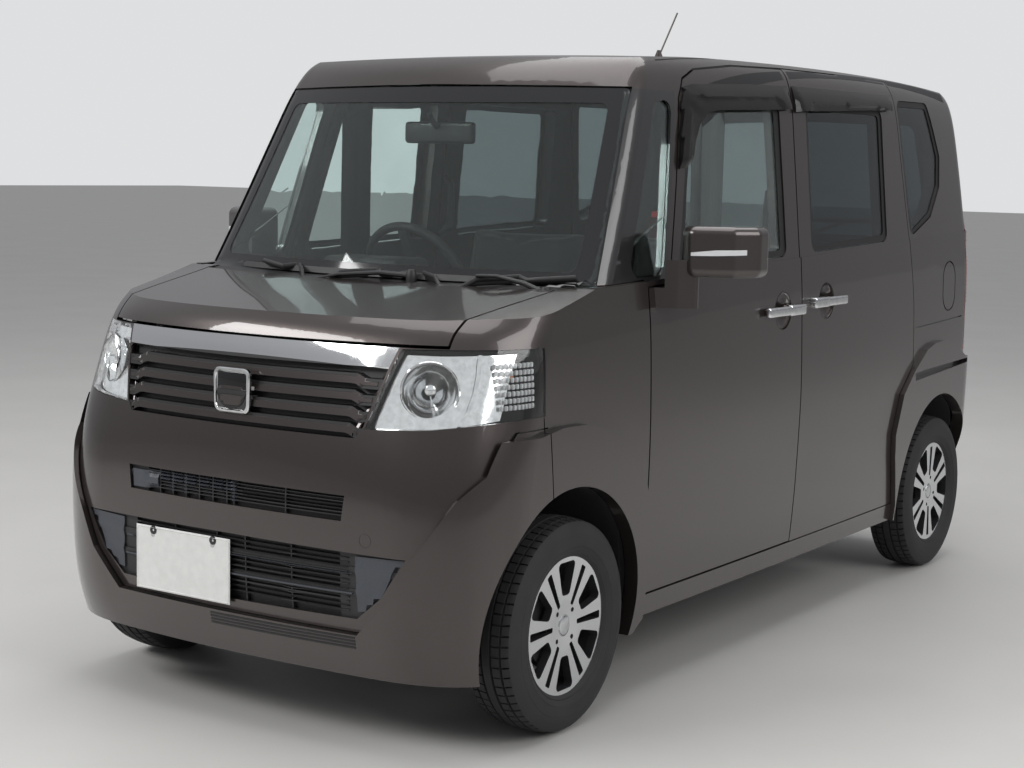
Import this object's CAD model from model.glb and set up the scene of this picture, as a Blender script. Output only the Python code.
import bmesh
import bpy
import math
from mathutils import Matrix, Vector
from mathutils.bvhtree import BVHTree


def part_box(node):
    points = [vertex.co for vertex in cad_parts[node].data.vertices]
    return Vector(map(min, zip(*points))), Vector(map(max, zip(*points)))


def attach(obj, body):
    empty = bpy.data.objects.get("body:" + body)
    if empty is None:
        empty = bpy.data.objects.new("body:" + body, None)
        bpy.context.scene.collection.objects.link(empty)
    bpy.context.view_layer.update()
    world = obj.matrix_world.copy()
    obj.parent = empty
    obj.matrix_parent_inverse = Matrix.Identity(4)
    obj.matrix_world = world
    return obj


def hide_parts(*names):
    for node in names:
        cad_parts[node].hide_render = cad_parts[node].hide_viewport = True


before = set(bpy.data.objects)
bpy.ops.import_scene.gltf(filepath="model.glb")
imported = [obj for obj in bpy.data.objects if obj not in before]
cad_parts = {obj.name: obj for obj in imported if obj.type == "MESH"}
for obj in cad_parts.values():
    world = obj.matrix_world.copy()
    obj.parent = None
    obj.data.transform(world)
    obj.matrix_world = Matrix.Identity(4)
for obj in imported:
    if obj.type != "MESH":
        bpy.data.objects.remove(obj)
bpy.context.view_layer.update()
print("frame loaded:", len(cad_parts), "nodes")
axleAlong = sum(corner.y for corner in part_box("tyre_front_left")) / 2

# materials

paintLook = {"colour": (0.046, 0.037, 0.035), "fleck": (0.088, 0.072, 0.068), "metallic": 0.72, "rough": 0.30,
             "coat": 1.0, "coatRough": 0.04, "flakeScale": 2600, "flakeSpan": (0.35, 0.75),
             "trim": (0.035, 0.033, 0.033), "trimRough": 0.7, "trimCoat": 0.05, "trimFacing": -0.35,
             "peelScale": 240, "peel": 0.03, "peelDepth": 0.0004}
glassLook = {"clear": (0.80, 0.90, 0.88), "tinted": (0.16, 0.19, 0.20), "ior": 1.45, "cloudScale": 3,
             "cloud": 0.96, "smearScale": 12, "smear": 0.012}
plasticLook = {"black": (0.018, 0.018, 0.019), "slate": (0.050, 0.055, 0.065), "grainScale": 900,
               "grainSpan": (0.3, 0.7), "grainDepth": 0.0006, "handledScale": 30, "handled": 0.08}
grilleLook = {"dark": (0.010, 0.010, 0.011), "grain": (0.017, 0.017, 0.018), "bright": (0.86, 0.87, 0.88),
              "lineBend": -0.073, "lineHigh": 0.9600, "darkRough": 0.45, "brightRough": 0.05}
wheelLook = {"pocket": (0.040, 0.040, 0.043), "face": (0.72, 0.73, 0.75), "facing": (0.80, 0.90),
             "rough": (0.35, 0.13), "metallic": (0.3, 1.0), "turningScale": 260, "turning": 0.02,
             "turningDepth": 0.0003}
rubberLook = {"colour": (0.016, 0.016, 0.017), "dusty": 1.9, "dustScale": 14, "rough": (0.62, 0.86),
              "grainScale": 700, "grain": 0.25, "grainDepth": 0.0005}
clothLook = {"colour": (0.055, 0.050, 0.050), "pale": 1.7, "threads": 180, "distortion": 0.6, "rough": 0.9,
             "sheen": 0.3, "weave": 0.5, "weaveDepth": 0.0008}


def newMaterial(name):
    # an empty node material with one shader
    material = bpy.data.materials.new(name)
    material.use_nodes = True
    tree = material.node_tree
    shader = tree.nodes["Principled BSDF"]
    return material, tree, shader


def shaded(colour, share):
    return tuple(part * share for part in colour)


def link(tree, source, target):
    tree.links.new(source, target)


def addNode(tree, kind, **settings):
    node = tree.nodes.new(kind)
    for key, value in settings.items():
        setattr(node, key, value)
    return node


def objectPlace(tree):
    return addNode(tree, "ShaderNodeTexCoord").outputs["Object"]


def splitUp(tree, source):
    # the X, Y and Z parts of a place or a direction
    node = addNode(tree, "ShaderNodeSeparateXYZ")
    link(tree, source, node.inputs[0])
    return node.outputs


def noiseAt(tree, scale, detail=3.0, rough=0.5):
    noise = addNode(tree, "ShaderNodeTexNoise")
    noise.inputs["Scale"].default_value = scale
    noise.inputs["Detail"].default_value = detail
    noise.inputs["Roughness"].default_value = rough
    link(tree, objectPlace(tree), noise.inputs["Vector"])
    return noise.outputs["Fac"]


def ramp(tree, factor, low, high, lowColour, highColour):
    node = addNode(tree, "ShaderNodeValToRGB")
    node.color_ramp.elements[0].position = low
    node.color_ramp.elements[1].position = high
    node.color_ramp.elements[0].color = (*lowColour, 1)
    node.color_ramp.elements[1].color = (*highColour, 1)
    link(tree, factor, node.inputs["Fac"])
    return node.outputs["Color"]


def spread(tree, factor, low, high):
    # a number between low and high
    node = addNode(tree, "ShaderNodeMapRange")
    node.inputs["To Min"].default_value = low
    node.inputs["To Max"].default_value = high
    link(tree, factor, node.inputs["Value"])
    return node.outputs["Result"]


def mixColour(tree, factor, first, second):
    node = addNode(tree, "ShaderNodeMix", data_type="RGBA")
    link(tree, factor, node.inputs["Factor"])
    for value, socket in ((first, node.inputs["A"]), (second, node.inputs["B"])):
        if isinstance(value, tuple):
            socket.default_value = (*value, 1)
        else:
            link(tree, value, socket)
    return node.outputs["Result"]


def sums(tree, operation, first, second=None, third=None):
    node = addNode(tree, "ShaderNodeMath", operation=operation)
    for number, value in enumerate((first, second, third)):
        if value is None:
            continue
        if isinstance(value, (int, float)):
            node.inputs[number].default_value = value
        else:
            link(tree, value, node.inputs[number])
    return node.outputs[0]


def roughen(tree, shader, height, strength, distance):
    bump = addNode(tree, "ShaderNodeBump")
    bump.inputs["Strength"].default_value = strength
    bump.inputs["Distance"].default_value = distance
    link(tree, height, bump.inputs["Height"])
    link(tree, bump.outputs["Normal"], shader.inputs["Normal"])


pillarLook = {"low": 1.143, "high": 1.657, "foot": 0.4965, "footHigh": 1.146, "lean": 0.2778,
              "black": (0.008, 0.008, 0.009)}


def pillarMask(tree, place):
    # 1 on the flush black strip between the windscreen and the front door
    above = sums(tree, "GREATER_THAN", place["Z"], pillarLook["low"])
    below = sums(tree, "LESS_THAN", place["Z"], pillarLook["high"])
    rise = sums(tree, "SUBTRACT", place["Z"], pillarLook["footHigh"])
    edge = sums(tree, "MULTIPLY_ADD", rise, pillarLook["lean"], pillarLook["foot"] + axleAlong)
    ahead = sums(tree, "LESS_THAN", place["Y"], edge)
    return sums(tree, "MULTIPLY", sums(tree, "MULTIPLY", above, below), ahead)


def bodyPaint(name, lined, pillars=False):
    # metallic clear-coated paint; lined panels turn to dark trim on the faces that look into the cabin
    material, tree, shader = newMaterial(name)
    flakes = ramp(tree, noiseAt(tree, paintLook["flakeScale"], 2), *paintLook["flakeSpan"],
                  paintLook["colour"], paintLook["fleck"])
    shader.inputs["Roughness"].default_value = paintLook["rough"]
    shader.inputs["Coat Weight"].default_value = paintLook["coat"]
    shader.inputs["Coat Roughness"].default_value = paintLook["coatRough"]
    if lined:
        place = splitUp(tree, objectPlace(tree))
        facing = splitUp(tree, addNode(tree, "ShaderNodeNewGeometry").outputs["True Normal"])
        side = sums(tree, "MULTIPLY", sums(tree, "SIGN", place["X"]), facing["X"])
        inward = sums(tree, "LESS_THAN", side, paintLook["trimFacing"])
        shade = mixColour(tree, inward, flakes, paintLook["trim"])
        unpainted = inward
        if pillars:
            mask = pillarMask(tree, place)
            shade = mixColour(tree, mask, shade, pillarLook["black"])
            unpainted = sums(tree, "MAXIMUM", inward, mask)
        link(tree, shade, shader.inputs["Base Color"])
        link(tree, spread(tree, unpainted, paintLook["metallic"], 0), shader.inputs["Metallic"])
        link(tree, spread(tree, inward, paintLook["coat"], paintLook["trimCoat"]),
             shader.inputs["Coat Weight"])
        link(tree, spread(tree, inward, paintLook["rough"], paintLook["trimRough"]),
             shader.inputs["Roughness"])
    else:
        link(tree, flakes, shader.inputs["Base Color"])
        shader.inputs["Metallic"].default_value = paintLook["metallic"]
    roughen(tree, shader, noiseAt(tree, paintLook["peelScale"], 1), paintLook["peel"], paintLook["peelDepth"])
    return material


def grainPlastic(name, colour, rough, strength=0.25):
    material, tree, shader = newMaterial(name)
    grain = noiseAt(tree, plasticLook["grainScale"], 4)
    pale = tuple(min(1, part * 1.5 + 0.004) for part in colour)
    handled = noiseAt(tree, plasticLook["handledScale"], 3)
    least, most = rough - plasticLook["handled"], rough + plasticLook["handled"]
    link(tree, ramp(tree, grain, *plasticLook["grainSpan"], colour, pale), shader.inputs["Base Color"])
    link(tree, spread(tree, handled, least, most), shader.inputs["Roughness"])
    roughen(tree, shader, grain, strength, plasticLook["grainDepth"])
    return material


def clearGlass(name, colour, rough=0.0):
    material, tree, shader = newMaterial(name)
    cloud = noiseAt(tree, glassLook["cloudScale"], 2)
    smear = noiseAt(tree, glassLook["smearScale"], 3)
    shade = shaded(colour, glassLook["cloud"])
    link(tree, ramp(tree, cloud, 0.4, 0.6, shade, colour), shader.inputs["Base Color"])
    shader.inputs["Transmission Weight"].default_value = 1.0
    shader.inputs["IOR"].default_value = glassLook["ior"]
    link(tree, spread(tree, smear, rough, rough + glassLook["smear"]), shader.inputs["Roughness"])
    return material


def grillePlastic(name):
    # black louvres below, bright bar above the curved line that parts them
    material, tree, shader = newMaterial(name)
    place = splitUp(tree, objectPlace(tree))
    bend = sums(tree, "MULTIPLY", place["X"], place["X"])
    line = sums(tree, "MULTIPLY_ADD", bend, grilleLook["lineBend"], grilleLook["lineHigh"])
    bright = sums(tree, "GREATER_THAN", place["Z"], line)
    dark = ramp(tree, noiseAt(tree, plasticLook["grainScale"], 4), *plasticLook["grainSpan"],
                grilleLook["dark"], grilleLook["grain"])
    rough = spread(tree, bright, grilleLook["darkRough"], grilleLook["brightRough"])
    link(tree, mixColour(tree, bright, dark, grilleLook["bright"]), shader.inputs["Base Color"])
    link(tree, bright, shader.inputs["Metallic"])
    link(tree, rough, shader.inputs["Roughness"])
    return material


def smoked(name, colour, rough, seen):
    # a dark see-through plastic, thin enough to let light straight through
    material, tree, shader = newMaterial(name)
    shade = ramp(tree, noiseAt(tree, 5, 2), 0.4, 0.6, shaded(colour, 0.9), colour)
    link(tree, shade, shader.inputs["Base Color"])
    link(tree, spread(tree, noiseAt(tree, 20, 2), rough, rough + 0.03), shader.inputs["Roughness"])
    shader.inputs["Alpha"].default_value = seen
    shader.inputs["IOR"].default_value = glassLook["ior"]
    return material


def gloss(name, colour, rough, coat=0.0):
    # smooth plastic or enamel with faint unevenness
    material, tree, shader = newMaterial(name)
    shade = ramp(tree, noiseAt(tree, 40, 3), 0.35, 0.65, shaded(colour, 0.93), colour)
    link(tree, shade, shader.inputs["Base Color"])
    link(tree, spread(tree, noiseAt(tree, 90, 2), rough, rough + 0.04), shader.inputs["Roughness"])
    shader.inputs["Coat Weight"].default_value = coat
    return material


def metal(name, colour, rough, wear=0.05, scale=60):
    material, tree, shader = newMaterial(name)
    worn = noiseAt(tree, scale, 4)
    link(tree, ramp(tree, worn, 0.35, 0.65, shaded(colour, 0.86), colour), shader.inputs["Base Color"])
    shader.inputs["Metallic"].default_value = 1.0
    link(tree, spread(tree, worn, rough, rough + wear), shader.inputs["Roughness"])
    return material


def cutWheel(name):
    # turned bright face, dark painted pockets and sides
    material, tree, shader = newMaterial(name)
    facing = splitUp(tree, addNode(tree, "ShaderNodeTexCoord").outputs["Normal"])
    flat = addNode(tree, "ShaderNodeMapRange")
    flat.inputs["From Min"].default_value, flat.inputs["From Max"].default_value = wheelLook["facing"]
    link(tree, sums(tree, "ABSOLUTE", facing["X"]), flat.inputs["Value"])
    bright = flat.outputs["Result"]
    link(tree, mixColour(tree, bright, wheelLook["pocket"], wheelLook["face"]), shader.inputs["Base Color"])
    link(tree, spread(tree, bright, *wheelLook["rough"]), shader.inputs["Roughness"])
    link(tree, spread(tree, bright, *wheelLook["metallic"]), shader.inputs["Metallic"])
    turning = noiseAt(tree, wheelLook["turningScale"], 2)
    roughen(tree, shader, turning, wheelLook["turning"], wheelLook["turningDepth"])
    return material


def rubber(name):
    # black rubber with pale dust
    material, tree, shader = newMaterial(name)
    colour = rubberLook["colour"]
    dust = noiseAt(tree, rubberLook["dustScale"], 5)
    grain = noiseAt(tree, rubberLook["grainScale"], 3)
    shade = ramp(tree, dust, 0.3, 0.8, colour, shaded(colour, rubberLook["dusty"]))
    link(tree, shade, shader.inputs["Base Color"])
    link(tree, spread(tree, dust, *rubberLook["rough"]), shader.inputs["Roughness"])
    roughen(tree, shader, grain, rubberLook["grain"], rubberLook["grainDepth"])
    return material


def wovenCloth(name):
    material, tree, shader = newMaterial(name)
    colour = clothLook["colour"]
    waveX = addNode(tree, "ShaderNodeTexWave", bands_direction="X")
    waveZ = addNode(tree, "ShaderNodeTexWave", bands_direction="Z")
    for wave in (waveX, waveZ):
        wave.inputs["Scale"].default_value = clothLook["threads"]
        wave.inputs["Distortion"].default_value = clothLook["distortion"]
        link(tree, objectPlace(tree), wave.inputs["Vector"])
    weave = sums(tree, "MULTIPLY", waveX.outputs["Fac"], waveZ.outputs["Fac"])
    pale = shaded(colour, clothLook["pale"])
    link(tree, ramp(tree, weave, 0.1, 0.8, colour, pale), shader.inputs["Base Color"])
    shader.inputs["Roughness"].default_value = clothLook["rough"]
    shader.inputs["Sheen Weight"].default_value = clothLook["sheen"]
    roughen(tree, shader, weave, clothLook["weave"], clothLook["weaveDepth"])
    return material


paint = bodyPaint("BodyPaint", False)
linedPaint = bodyPaint("LinedPaint", True)
sidePaint = bodyPaint("SidePaint", True, True)
blackPlastic = grainPlastic("BlackPlastic", plasticLook["black"], 0.5)
slatePlastic = grainPlastic("SlatePlastic", plasticLook["slate"], 0.42, 0.1)
trimPlastic = grainPlastic("TrimPlastic", (0.030, 0.028, 0.028), 0.6)
chrome = metal("Chrome", (0.86, 0.87, 0.88), 0.04, 0.03)
steel = metal("DullSteel", (0.32, 0.31, 0.30), 0.42, 0.2, 25)
chassisBlack = grainPlastic("ChassisBlack", (0.022, 0.022, 0.023), 0.55)
alloy = metal("RimAlloy", (0.70, 0.71, 0.73), 0.16, 0.08, 90)
wheelAlloy = cutWheel("WheelAlloy")
paneClear = clearGlass("PaneClear", glassLook["clear"])
paneTinted = clearGlass("PaneTinted", glassLook["tinted"])
lensClear = clearGlass("LensClear", (0.97, 0.98, 0.98))
redLens = clearGlass("RedLens", (0.55, 0.02, 0.02), 0.02)
tyreRubber = rubber("TyreRubber")
seatCloth = wovenCloth("SeatCloth")
glossBlack = gloss("GlossBlack", (0.008, 0.008, 0.009), 0.05, 0.6)
softBlack = gloss("SoftBlack", (0.012, 0.012, 0.013), 0.42)
lampWhite = gloss("LampWhite", (0.74, 0.75, 0.76), 0.12, 0.5)
plateWhite = gloss("PlateWhite", (0.80, 0.80, 0.78), 0.38)
indicatorClear = gloss("IndicatorClear", (0.78, 0.79, 0.80), 0.10, 0.8)
orangeGlass = gloss("OrangeGlass", (0.85, 0.26, 0.03), 0.10, 0.6)
redGloss = gloss("RedGloss", (0.45, 0.012, 0.012), 0.10, 0.8)
mirrorGlass = metal("MirrorGlass", (0.80, 0.82, 0.83), 0.015, 0.01)
reflector = metal("Reflector", (0.90, 0.91, 0.92), 0.06, 0.03)
grilleFinish = grillePlastic("GrilleFinish")
smokedPlastic = smoked("SmokedPlastic", (0.020, 0.018, 0.018), 0.05, 0.72)
screwSteel = metal("ScrewSteel", (0.62, 0.62, 0.62), 0.2, 0.1, 120)

nodeFinish = {
    "side_body_left": sidePaint, "side_body_right": sidePaint, "sliding_doors": linedPaint,
    "roof_panel": linedPaint,
    "front_door_left": linedPaint, "front_door_right": linedPaint, "bonnet": paint, "tailgate": linedPaint,
    "front_fenders": paint, "front_bumper": paint, "rear_bumper": paint, "fuel_lid": paint,
    "mirror_left": paint, "mirror_right": paint, "upper_grille": grilleFinish, "lower_grille": blackPlastic,
    "front_glass": paneClear, "door_window_left": paneClear, "door_window_right": paneClear,
    "privacy_windows": paneTinted, "tailgate_window": paneTinted, "headlamps": lensClear,
    "tail_lamps": redLens,
    "cowl": blackPlastic, "wheel_liners": blackPlastic, "dashboard": trimPlastic,
    "steering_wheel": trimPlastic,
    "fuel_tank": blackPlastic, "exhaust": steel, "seats": seatCloth, "lamp_bowls": reflector,
}
for nodeName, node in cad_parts.items():
    finish = nodeFinish.get(nodeName)
    if nodeName.startswith("tyre_"):
        finish = tyreRubber
    if nodeName.startswith("rim_"):
        finish = wheelAlloy
    node.data.materials.clear()
    node.data.materials.append(finish or chassisBlack)
print("materials on", len(nodeFinish), "kinds of node")

# places and helpers for the pieces

farOut = 4.0  # casts start this far from the middle, outside the car
tiny = 0.00002  # points closer than this are merged
longestCut = 0.45  # a rounded corner takes no more than this share of a side


def behind(distance):
    # a place along the car, from a distance behind the front axle
    return axleAlong + distance


def skinOf(*names):
    # the outside of some CAD nodes as one tree for casts
    verts, faces = [], []
    for name in names:
        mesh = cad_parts[name].data
        start = len(verts)
        verts += [vert.co.copy() for vert in mesh.vertices]
        faces += [[start + index for index in face.vertices] for face in mesh.polygons]
    return BVHTree.FromPolygons(verts, faces)


def castAlong(tree, origin, direction):
    # where a straight look meets the skin, or else the skin's nearest place
    place, normal = tree.ray_cast(Vector(origin), Vector(direction))[:2]
    if place is None:
        place, normal = tree.find_nearest(Vector(origin) + Vector(direction) * farOut)[:2]
    return place, normal


def fromSide(side):
    # casts a spot given as (behind the front axle, height) onto one side of the car
    def cast(tree, spot):
        return castAlong(tree, (side * farOut, behind(spot[0]), spot[1]), (-side, 0, 0))
    return cast


def fromFront(tree, spot):
    return castAlong(tree, (spot[0], -farOut, spot[1]), (0, 1, 0))


def fromRear(tree, spot):
    return castAlong(tree, (spot[0], farOut, spot[1]), (0, -1, 0))


def fromAbove(tree, spot):
    return castAlong(tree, (spot[0], behind(spot[1]), farOut), (0, 0, -1))


def toPiece(bm, name, finish, body="body", sharp=35):
    # the finished mesh as an object that rides on one body
    bmesh.ops.recalc_face_normals(bm, faces=bm.faces)
    mesh = bpy.data.meshes.new(name)
    bm.to_mesh(mesh)
    bm.free()
    mesh.materials.append(finish)
    mesh.shade_smooth()
    mesh.set_sharp_from_angle(angle=math.radians(sharp))
    piece = bpy.data.objects.new(name, mesh)
    bpy.context.collection.objects.link(piece)
    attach(piece, body)
    return piece


def onRail(rail, share):
    # a point at a share of a rail's length
    lengths = [(Vector(second) - Vector(first)).length for first, second in zip(rail, rail[1:])]
    reach = share * sum(lengths)
    for first, second, length in zip(rail, rail[1:], lengths):
        if reach <= length or second is rail[-1]:
            return Vector(first).lerp(Vector(second), min(1, reach / length))
        reach -= length


def sheetToSkin(bm, tree, cast, lift, thick):
    # lays a flat sheet, drawn in the cast's own two directions, on the skin and gives it a thickness;
    # a point's own height in the sheet is added to the lift
    normals = {}
    for vert in bm.verts:
        place, normal = cast(tree, vert.co.to_2d())
        vert.co = place + normal * (lift + vert.co.z)
        normals[vert] = normal
    bm.normal_update()
    facing = sum(face.normal.dot(normals[face.verts[0]]) for face in bm.faces)
    if facing < 0:
        bmesh.ops.reverse_faces(bm, faces=bm.faces[:])
    inward = {vert.co.to_tuple(6): normal for vert, normal in normals.items()}
    made = bmesh.ops.extrude_face_region(bm, geom=bm.faces[:], use_keep_orig=True)["geom"]
    for vert in made:
        if isinstance(vert, bmesh.types.BMVert):
            vert.co -= inward[vert.co.to_tuple(6)] * thick


def addBand(bm, tree, cast, rails, cells, lift, thick):
    # a strip between two rails
    strip = bmesh.new()
    bmesh.ops.create_grid(strip, x_segments=cells[0], y_segments=cells[1], size=0.5)
    for vert in strip.verts:
        along, over = vert.co.x + 0.5, vert.co.y + 0.5
        spot = onRail(rails[0], along).lerp(onRail(rails[1], along), over)
        vert.co = (spot.x, spot.y, 0)
    sheetToSkin(strip, tree, cast, lift, thick)
    joinInto(bm, strip)


def joinInto(bm, other):
    mesh = bpy.data.meshes.new("joined")
    other.to_mesh(mesh)
    other.free()
    bm.from_mesh(mesh)
    bpy.data.meshes.remove(mesh)


def sided(side, spots):
    # spots drawn for the left side of the car, put on either side
    return [(side * across, other) for across, other in spots]


def strip(left, right, low, high):
    # the two level rails of a straight band
    return [(left, low), (right, low)], [(left, high), (right, high)]


def roundedLoop(corners, radius, cuts=6, arcSteps=6):
    # an outline with rounded corners; a corner may name its own radius, and every side has the same
    # number of points, so that two of these outlines can be bridged
    spots = []
    count = len(corners)
    for number in range(count):
        before, here, after = (Vector(corners[(number + step) % count][:2]) for step in (-1, 0, 1))
        reach = corners[number][2] if len(corners[number]) > 2 else radius
        towardBack, towardAhead = (before - here).normalized(), (after - here).normalized()
        half = towardBack.angle(towardAhead) / 2
        cut = min(reach / math.tan(half), (before - here).length * longestCut,
                  (after - here).length * longestCut)
        start, end = here + towardBack * cut, here + towardAhead * cut
        for step in range(arcSteps + 1):
            share = step / arcSteps
            spots.append(start.lerp(here, share).lerp(here.lerp(end, share), share))
        following = Vector(corners[(number + 1) % count][:2])
        nextCorner = corners[(number + 1) % count]
        nextReach = nextCorner[2] if len(nextCorner) > 2 else radius
        beyond = Vector(corners[(number + 2) % count][:2])
        nextHalf = (here - following).angle(beyond - following) / 2
        nextCut = min(nextReach / math.tan(nextHalf), (here - following).length * longestCut,
                      (beyond - following).length * longestCut)
        goal = following + (here - following).normalized() * nextCut
        for step in range(1, cuts):
            spots.append(end.lerp(goal, step / cuts))
    return spots


def addRing(bm, tree, cast, outer, inner, lift, thick, rows=2):
    # a frame between two outlines with the same number of points
    ring = bmesh.new()
    loops = []
    for share in (step / rows for step in range(rows + 1)):
        made = bmesh.ops.create_circle(ring, segments=len(outer), radius=1)["verts"]
        for vert, first, second in zip(made, outer, inner):
            spot = first.lerp(second, share)
            vert.co = (spot.x, spot.y, 0)
        loops.append([edge for edge in ring.edges if all(vert in made for vert in edge.verts)])
    for first, second in zip(loops, loops[1:]):
        bmesh.ops.bridge_loops(ring, edges=first + second)
    sheetToSkin(ring, tree, cast, lift, thick)
    joinInto(bm, ring)


def addDisc(bm, tree, cast, outline, lift, thick, rows=6):
    # a filled outline that follows the skin
    middle = sum(outline, Vector((0, 0))) / len(outline)
    inner = [middle.lerp(spot, 0.04) for spot in outline]
    addRing(bm, tree, cast, outline, inner, lift, thick, rows)


def addBox(bm, low, high, bevel, steps):
    # a block between two corners, with rounded edges
    low, high = Vector(low), Vector(high)
    made = bmesh.ops.create_cube(bm, size=1)["verts"]
    bmesh.ops.scale(bm, vec=high - low, verts=made)
    bmesh.ops.translate(bm, vec=(low + high) / 2, verts=made)
    edges = list({edge for vert in made for edge in vert.link_edges})
    bmesh.ops.bevel(bm, geom=edges, offset=bevel, segments=steps, affect="EDGES", profile=0.5, material=-1)


def addTube(bm, path, radius, sides=10, flat=1.0):
    # a round bar along a path, closed at both ends; flat squeezes it, and radius may be a list
    rings = []
    for number, spot in enumerate(path):
        ahead = Vector(path[min(number + 1, len(path) - 1)]) - Vector(path[max(number - 1, 0)])
        turn = ahead.to_track_quat("Z", "Y").to_matrix().to_4x4()
        place = Matrix.Translation(Vector(spot)) @ turn @ Matrix.Diagonal((1, flat, 1, 1))
        size = radius[number] if isinstance(radius, (list, tuple)) else radius
        cap = number in (0, len(path) - 1)
        made = bmesh.ops.create_circle(bm, cap_ends=cap, segments=sides, radius=size, matrix=place)["verts"]
        rings.append([edge for edge in {edge for vert in made for edge in vert.link_edges}])
    for first, second in zip(rings, rings[1:]):
        bmesh.ops.bridge_loops(bm, edges=first + second)


def turned(bm, outline, axis, centre, steps=64):
    # a profile of (radius, place along the axis) spun a full turn
    side = Vector(axis).orthogonal().normalized()
    centre, axis = Vector(centre), Vector(axis)
    verts = [bm.verts.new(centre + side * radius + axis * along) for radius, along in outline]
    edges = [bm.edges.new(pair) for pair in zip(verts, verts[1:])]
    bmesh.ops.spin(bm, geom=verts + edges, cent=centre, axis=axis, angle=math.tau, steps=steps,
                   use_merge=True)
    bmesh.ops.remove_doubles(bm, verts=bm.verts[:], dist=tiny)

# front of the car

grilleSkin = skinOf("upper_grille")
slatLook = {"count": 4, "low": 0.792, "step": 0.0395, "tall": 0.0255, "kinkStart": 0.352, "kinkEnd": 0.378,
            "reach": 0.402, "narrowing": 0.008, "drop": 0.0115, "lift": 0.0016, "thick": 0.006,
            "cells": (72, 3)}


def slats():
    # painted louvre faces, a little lower near their outer ends
    bm = bmesh.new()
    for number in range(slatLook["count"]):
        low = slatLook["low"] + slatLook["step"] * number
        reach = slatLook["reach"] + slatLook["narrowing"] * number
        rails = []
        for shift in (0, slatLook["tall"]):
            kinked = [(slatLook["kinkStart"], low + shift),
                      (slatLook["kinkEnd"], low + shift - slatLook["drop"]),
                      (reach, low + shift - slatLook["drop"])]
            rails.append([(-across, high) for across, high in kinked[::-1]] + kinked)
        addBand(bm, grilleSkin, fromFront, rails, slatLook["cells"], slatLook["lift"], slatLook["thick"])
    toPiece(bm, "SlatFaces", paint)


badgeLook = {"centre": (0, 0.868), "size": (0.058, 0.057), "corner": 0.022, "rim": 0.007, "widening": 1.06,
             "rimSteps": ((0, 0.010), (0, 0.003), (0.35, 0), (1, 0), (1.25, 0.004)),
             "face": 0.84, "faceFront": 0.0022, "faceBack": 0.008, "faceBevel": 0.0035}


def blankBadge():
    # the bright rim of the plain plate in the middle of the grille, from (share of its width, depth)
    across, high = badgeLook["centre"]
    wideHalf, highHalf = badgeLook["size"]
    topHalf = wideHalf * badgeLook["widening"]
    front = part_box("upper_grille")[0].y
    outline = [(across - wideHalf, high - highHalf), (across + wideHalf, high - highHalf),
               (across + topHalf, high + highHalf), (across - topHalf, high + highHalf)]
    outer = roundedLoop(outline, badgeLook["corner"])
    centre = Vector((across, high))
    rim = bmesh.new()
    loops = []
    for inset, depth in badgeLook["rimSteps"]:
        shrink = 1 - inset * badgeLook["rim"] / highHalf
        made = bmesh.ops.create_circle(rim, segments=len(outer), radius=1)["verts"]
        for vert, spot in zip(made, outer):
            place = centre + (spot - centre) * shrink
            vert.co = (place.x, front + depth, place.y)
        loops.append([edge for edge in rim.edges if all(vert in made for vert in edge.verts)])
    for first, second in zip(loops, loops[1:]):
        bmesh.ops.bridge_loops(rim, edges=first + second)
    bmesh.ops.holes_fill(rim, edges=rim.edges[:], sides=0)
    toPiece(rim, "BlankBadgeRim", chrome)


def blankBadgeFace():
    # the bare black face inside the rim
    across, high = badgeLook["centre"]
    wideHalf, highHalf = (part * badgeLook["face"] for part in badgeLook["size"])
    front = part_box("upper_grille")[0].y
    bm = bmesh.new()
    addBox(bm, (across - wideHalf, front + badgeLook["faceFront"], high - highHalf),
           (across + wideHalf, front + badgeLook["faceBack"], high + highHalf), badgeLook["faceBevel"], 3)
    toPiece(bm, "BlankBadgeFace", glossBlack)


for make in (slats, blankBadge, blankBadgeFace):
    make()

lampLook = {"outline": [(-0.455, 0.998), (-0.774, 1.000), (-0.774, 0.834), (-0.712, 0.834), (-0.560, 0.814),
                        (-0.402, 0.805)],
            "corner": 0.010, "across": 0.546, "high": 0.901, "radius": 0.071, "drawnRadius": 0.071,
            "inset": 0.016,
            "tilt": 32.5, "back": -0.026, "sheet": 0.002, "hole": 0.80, "inward": 0.955, "furthest": 0.690,
            "rows": 14}
bowlLook = {"inner": [(0.0, -0.046), (0.010, -0.0455), (0.024, -0.042), (0.038, -0.035), (0.052, -0.0235),
                      (0.062, -0.0105), (0.0665, -0.002)],
            "rim": [(0.0675, 0.0015), (0.0690, 0.0030), (0.0712, 0.0030), (0.0728, 0.0012), (0.0728, -0.003)],
            "outer": [(0.068, -0.014), (0.054, -0.029), (0.036, -0.041), (0.018, -0.049), (0.0, -0.051)],
            "ringCount": 3, "ringReach": 0.030, "ringStep": 0.012, "ringDepth": -0.040, "ringRise": 0.0085,
            "ring": [(0, 0), (0.0012, 0.0016), (0.0024, 0.0012), (0.0012, -0.002), (0, 0)]}
lensSkin = skinOf("headlamps")


def lampAxis(side):
    turn = math.radians(lampLook["tilt"])
    return Vector((side * math.sin(turn), -math.cos(turn), 0))


def lampCentre(side):
    place = fromFront(lensSkin, (side * lampLook["across"], lampLook["high"]))[0]
    return place - lampAxis(side) * lampLook["inset"]


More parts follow.
